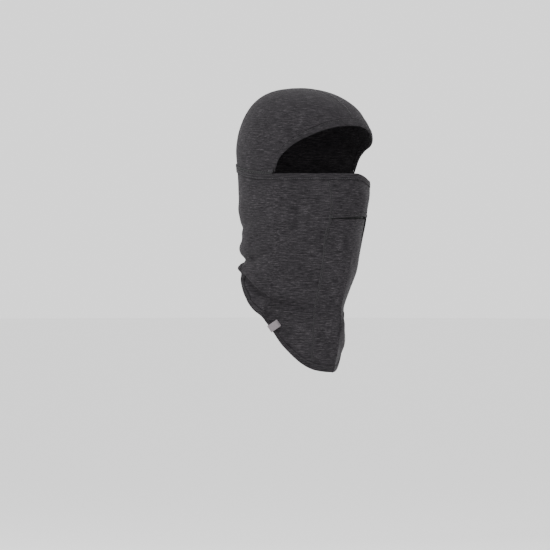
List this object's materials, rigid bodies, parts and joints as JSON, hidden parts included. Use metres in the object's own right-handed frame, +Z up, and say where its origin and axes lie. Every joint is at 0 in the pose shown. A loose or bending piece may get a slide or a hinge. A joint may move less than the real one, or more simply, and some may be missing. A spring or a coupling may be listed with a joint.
{
  "type": "balaclava",
  "caption": "Knitted balaclava: a hood, a neck tube with a pull-down face mask and an overlapped mouth vent, and a bib that ends in a rounded point.",
  "frame": {"origin": "the inside of the crown, where it rests on the top of the head", "axes": "+Z up, -Y towards the front of the face, -X towards the wearer's right"},
  "size_m": [0.164, 0.2193, 0.3905],
  "materials": {
    "knit": "heather knit",
    "turned_hem": "heather knit, doubled",
    "thread": "matte thread",
    "mesh": "fine mesh",
    "label": "woven"
  },
  "bodies": {
    "hood": {"hood_right": "knit", "hood_left": "knit", "crown_seam": "thread", "brow_hem": "turned_hem", "brow_stitches": "thread", "corner_bartacks": "thread", "hinge_seam": "thread", "hinge_band": "turned_hem", "nape_panel": "knit", "side_right": "knit", "side_left": "knit", "jaw_right": "knit", "jaw_left": "knit", "chin_panel": "knit", "bib_front": "knit", "bib_right": "knit", "bib_left": "knit", "bib_seams": "thread", "chin_seams": "thread", "bottom_hem": "turned_hem", "bottom_stitches": "thread", "hem_label": "label", "care_label": "label"},
    "face_mask": {"mask_top_hem": "turned_hem", "mask_top_stitches": "thread", "nose_panel": "knit", "cheek_right": "knit", "cheek_left": "knit", "mask_seams": "thread", "vent_hem": "turned_hem", "vent_mesh": "mesh", "vent_bartacks": "thread"}
  },
  "joints": [
    {"name": "mask_pull_down", "type": "hinge", "parent": "hood", "child": "face_mask", "pos_m": [0, 0.084, -0.16], "axis": [1, 0, 0], "range_deg": [0, 36], "deforming": ["chin_panel", "chin_seams", "jaw_right", "jaw_left", "side_right", "side_left"]}
  ]
}
